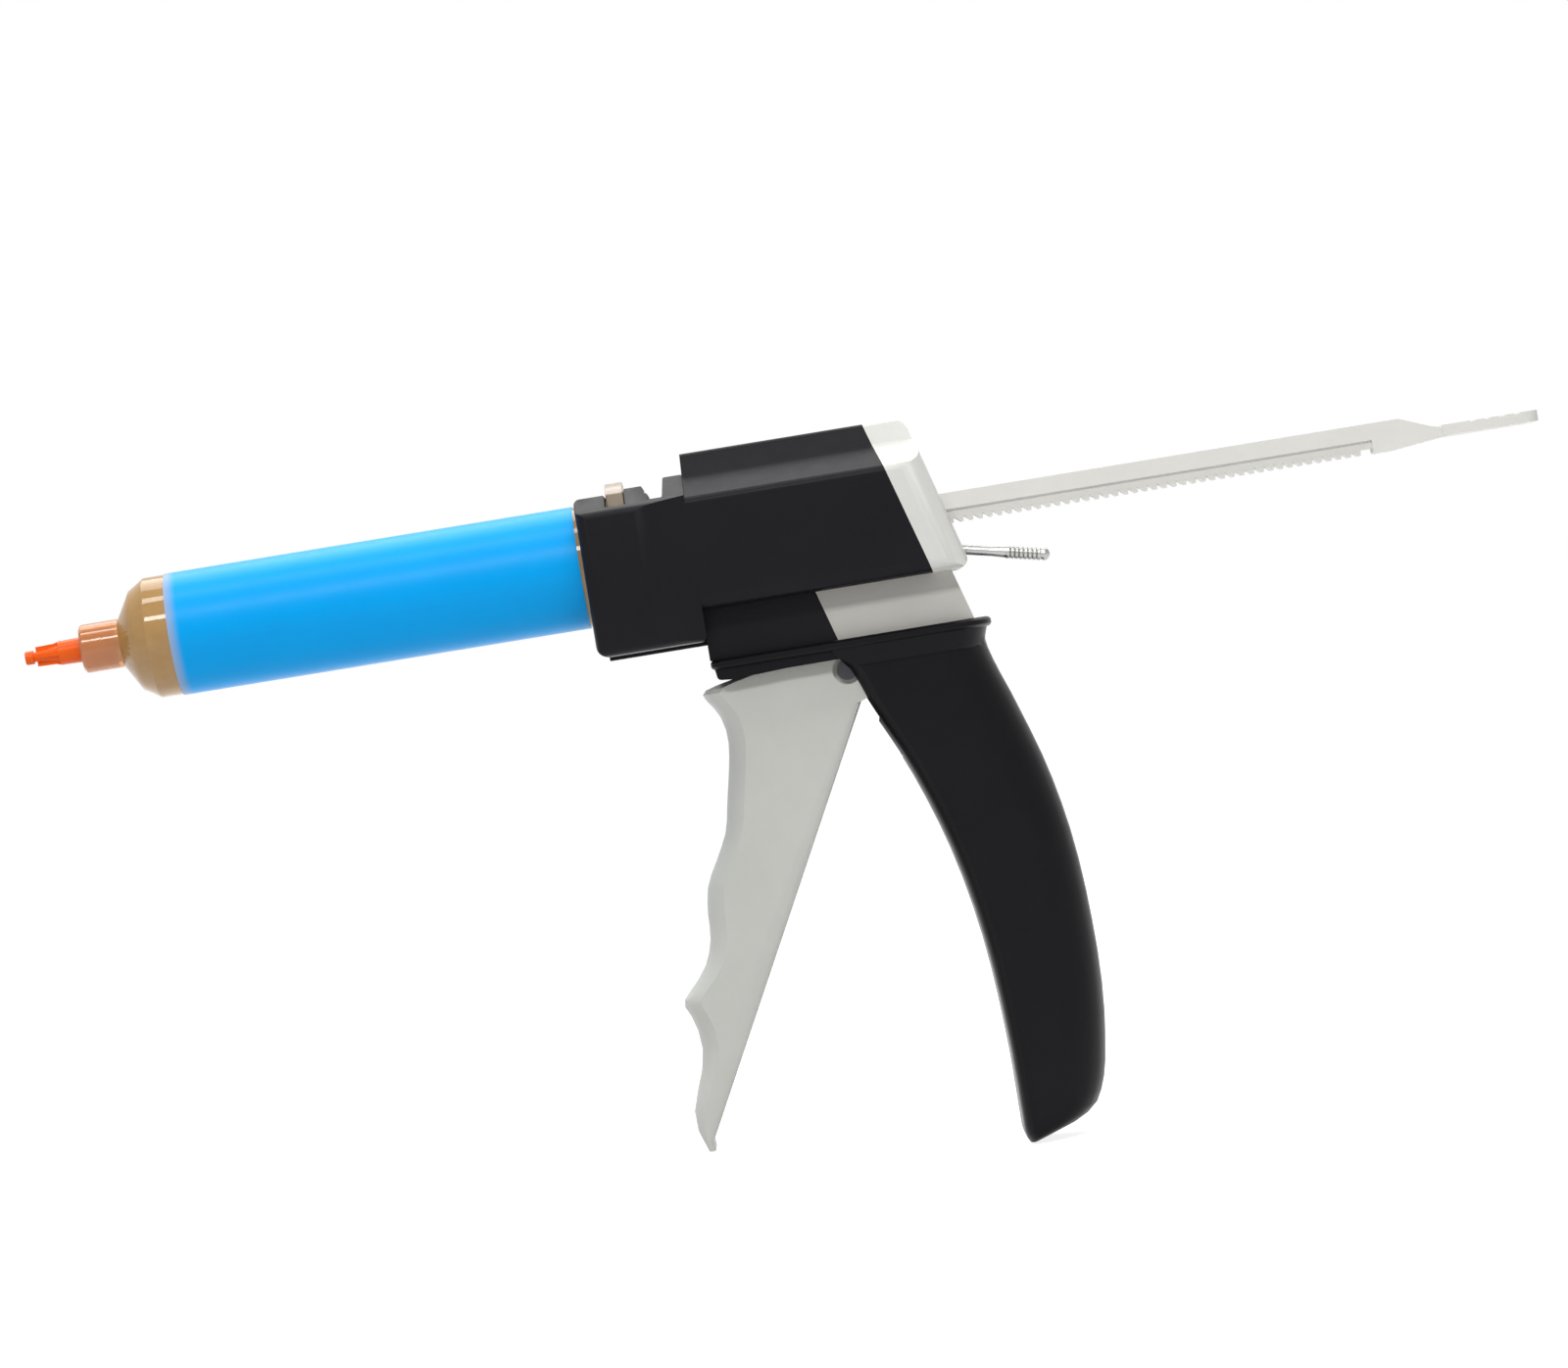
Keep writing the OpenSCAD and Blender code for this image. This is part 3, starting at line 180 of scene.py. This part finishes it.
FINISH = {"black_plastic": BLACK, "grip_black": GRIP, "light_grey_plastic": LIGHT, "trigger_grey": TRIGGER,
          "white_plastic": WHITE, "steel": STEEL, "dark_steel": DARK, "blue_film": BLUE, "clear_plastic": CLEAR,
          "amber_gel": AMBER, "black_rubber": RUBBER, "orange_plastic": ORANGE}

for name, obj in NODES.items():
    obj.data.materials.clear()
    obj.data.materials.append(FINISH[SLOT[name]])


# ---- Pieces ----

def dressed(node, bevel=0.3, segments=3, sharp=32.0, flat=0.6):
    """A copy of a node's shape with clean faces, soft shading and rounded edges, which stands for the node."""
    src = NODES[node].data
    bm = bmesh.new()
    for v in src.vertices:
        bm.verts.new(v.co)
    bm.verts.ensure_lookup_table()
    for p in src.polygons:
        bm.faces.new([bm.verts[i] for i in p.vertices])
    bmesh.ops.remove_doubles(bm, verts=bm.verts, dist=2e-6)
    bmesh.ops.dissolve_degenerate(bm, edges=bm.edges, dist=1e-6)
    bmesh.ops.dissolve_limit(bm, angle_limit=math.radians(flat), verts=bm.verts, edges=bm.edges)
    for f in bm.faces:
        f.smooth = True
    for e in bm.edges:
        e.smooth = len(e.link_faces) == 2 and e.calc_face_angle(0.0) < math.radians(sharp)
    me = bpy.data.meshes.new(node + "_look")
    bm.to_mesh(me)
    bm.free()
    me.materials.append(FINISH[SLOT[node]])
    obj = bpy.data.objects.new(node + "_look", me)
    bpy.context.scene.collection.objects.link(obj)
    if bevel:
        mod = obj.modifiers.new("edges", "BEVEL")
        mod.width = bevel * MM
        mod.segments = segments
        mod.limit_method = "ANGLE"
        mod.angle_limit = math.radians(sharp)
        mod.harden_normals = True
        mod.use_clamp_overlap = True
    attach(obj, BODY[node])
    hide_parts(node)
    return obj


dressed("housing_left", 0.35)
dressed("housing_right", 0.35)
rear = dressed("rear_frame", 0.4, sharp=50.0)
dressed("grip", 0)
dressed("trigger", 0)
dressed("rack", 0.12, 2)
dressed("release_pin", 0)
barrel = dressed("barrel", 0.2, 2)
dressed("tip_cap", 0.1, 2)

HOUSING_FRONT = -1 * MM                     # the barrel is bare of gel behind this plane
COLLAR_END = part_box("tip_cap")[1][0]        # the cap reaches to the back of the collar
SHADED_NECK_TOP = -12.8 * MM                       # below this height the rear frame gets a darker grey: painted shade for the shadow under the body's overhang


def finish_where(obj, material, test):
    """Gives the faces whose centre passes the test another material."""
    obj.data.materials.append(material)
    for face in obj.data.polygons:
        if test(face.center):
            face.material_index = len(obj.data.materials) - 1


finish_where(barrel, FLANGE, lambda c: c.x > HOUSING_FRONT)
finish_where(barrel, COLLAR, lambda c: c.x < COLLAR_END)
# the neck faces get the darker grey of painted shade
finish_where(rear, SHADED_NECK, lambda c: c.z < SHADED_NECK_TOP)


def gel():
    """The gel column, a smooth round rod with a softened front edge, which rides with its body."""
    lo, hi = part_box("gel_column")
    r = (hi[2] - lo[2]) / 2
    edge = 0.25 * MM
    sides = 72
    angles = [2 * math.pi * i / sides for i in range(sides)]
    bm = bmesh.new()
    rings = [[bm.verts.new((x, q * math.cos(a), q * math.sin(a))) for a in angles]
             for x, q in ((lo[0], r), (hi[0] - edge, r), (hi[0], r - edge))]
    for a, b in zip(rings, rings[1:]):
        for i in range(sides):
            bm.faces.new((a[i], b[i], b[(i + 1) % sides], a[(i + 1) % sides]))
    bm.faces.new(rings[0][::-1])
    bm.faces.new(rings[-1])
    bmesh.ops.recalc_face_normals(bm, faces=bm.faces)
    for f in bm.faces:
        f.smooth = len(f.verts) == 4
    me = bpy.data.meshes.new("gel_column_look")
    bm.to_mesh(me)
    bm.free()
    me.materials.append(AMBER)
    obj = bpy.data.objects.new("gel_column_look", me)
    bpy.context.scene.collection.objects.link(obj)
    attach(obj, BODY["gel_column"])
    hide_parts("gel_column")
    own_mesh(obj)


def spring(node):
    """A hidden coil spring, a soft-shaded copy of its node with its own mesh, which rides with its body."""
    obj = dressed(node, 0)
    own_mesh(obj)


gel()
spring("trigger_spring")
spring("release_spring")


# ---- Floor, camera and light ----

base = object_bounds()[0][2]


def seen_rays(t):
    """1 for the rays that see the background: from the camera, in gloss and through clear pieces."""
    path = node_of(t, "ShaderNodeLightPath")
    gloss = node_of(t, "ShaderNodeMath", operation="MAXIMUM")
    clear = node_of(t, "ShaderNodeMath", operation="MAXIMUM")
    t.links.new(path.outputs["Is Camera Ray"], gloss.inputs[0])
    t.links.new(path.outputs["Is Glossy Ray"], gloss.inputs[1])
    t.links.new(gloss.outputs[0], clear.inputs[0])
    t.links.new(path.outputs["Is Transmission Ray"], clear.inputs[1])
    return clear.outputs[0]


def stage_floor():
    """A wide pale floor just below the object, which keeps its shadow and runs out to white."""
    me = bpy.data.meshes.new("floor")
    s = 30.0                                # half width
    me.from_pydata([(-s, -s, 0), (s, -s, 0), (s, s, 0), (-s, s, 0)], [], [(0, 1, 2, 3)])
    obj = bpy.data.objects.new("floor", me)
    obj.location = (0, 0, base - 0.0005)
    bpy.context.scene.collection.objects.link(obj)
    m = bpy.data.materials.new("floor_white")
    m.use_nodes = True
    t = m.node_tree
    b = t.nodes["Principled BSDF"]
    b.inputs["Base Color"].default_value = (0.62, 0.62, 0.62, 1)
    b.inputs["Roughness"].default_value = 0.9
    b.inputs["Specular IOR Level"].default_value = 0.1
    glow = node_of(t, "ShaderNodeEmission")
    glow.inputs["Strength"].default_value = 0.84
    add = node_of(t, "ShaderNodeAddShader")
    pick = node_of(t, "ShaderNodeMixShader")
    t.links.new(b.outputs[0], add.inputs[0])
    t.links.new(glow.outputs[0], add.inputs[1])
    t.links.new(seen_rays(t), pick.inputs["Fac"])
    t.links.new(b.outputs[0], pick.inputs[1])
    t.links.new(add.outputs[0], pick.inputs[2])
    t.links.new(pick.outputs[0], t.nodes["Material Output"].inputs["Surface"])
    me.materials.append(m)


def world():
    """White where it is seen, and a soft even light on the object."""
    w = bpy.data.worlds.new("studio")
    bpy.context.scene.world = w
    w.use_nodes = True
    t = w.node_tree
    t.nodes.clear()
    out = node_of(t, "ShaderNodeOutputWorld")
    seen = node_of(t, "ShaderNodeBackground")
    seen.inputs["Color"].default_value = (1, 1, 1, 1)
    seen.inputs["Strength"].default_value = 1.0
    lit = node_of(t, "ShaderNodeBackground")
    lit.inputs["Color"].default_value = (0.97, 0.985, 1.0, 1)
    lit.inputs["Strength"].default_value = 0.32
    mix = node_of(t, "ShaderNodeMixShader")
    t.links.new(seen_rays(t), mix.inputs["Fac"])
    t.links.new(lit.outputs[0], mix.inputs[1])
    t.links.new(seen.outputs[0], mix.inputs[2])
    t.links.new(mix.outputs[0], out.inputs["Surface"])


def softbox(name, at, towards, width, depth, power):
    """A rectangular area light at a point, turned towards another."""
    data = bpy.data.lights.new(name, "AREA")
    data.shape = "RECTANGLE"
    data.size = width
    data.size_y = depth
    data.energy = power
    obj = bpy.data.objects.new(name, data)
    obj.location = at
    obj.rotation_euler = (Vector(towards) - Vector(at)).to_track_quat("-Z", "Y").to_euler()
    bpy.context.scene.collection.objects.link(obj)


def camera():
    """Looks along +Y from the gun's left side, rolled so that the gun's axis rises to the right."""
    data = bpy.data.cameras.new("camera")
    data.lens = 124.5
    data.sensor_width = 36.0
    data.clip_start = 0.01
    obj = bpy.data.objects.new("camera", data)
    roll = math.radians(9.3)
    c, s = math.cos(roll), math.sin(roll)
    obj.matrix_world = Matrix(((c, s, 0, 0.0361), (0, 0, -1, -1.107), (-s, c, 0, -0.0301), (0, 0, 0, 1)))
    bpy.context.scene.collection.objects.link(obj)
    bpy.context.scene.camera = obj


stage_floor()
world()
# a high and a low strip in front give the two streaks along the barrel, and a wide box lights the roof from behind
softbox("strip_low", (0.0, -1.0, 0.72), (0.0, 0, 0), 0.75, 0.17, 6.2)
softbox("strip_high", (0.0, -0.24, 0.88), (0.0, 0, 0), 0.85, 0.17, 3.6)
softbox("overhead", (0.03, 0.42, 0.70), (0.03, 0, 0), 1.1, 0.6, 6.0)
camera()
bpy.context.scene.view_settings.view_transform = "Standard"
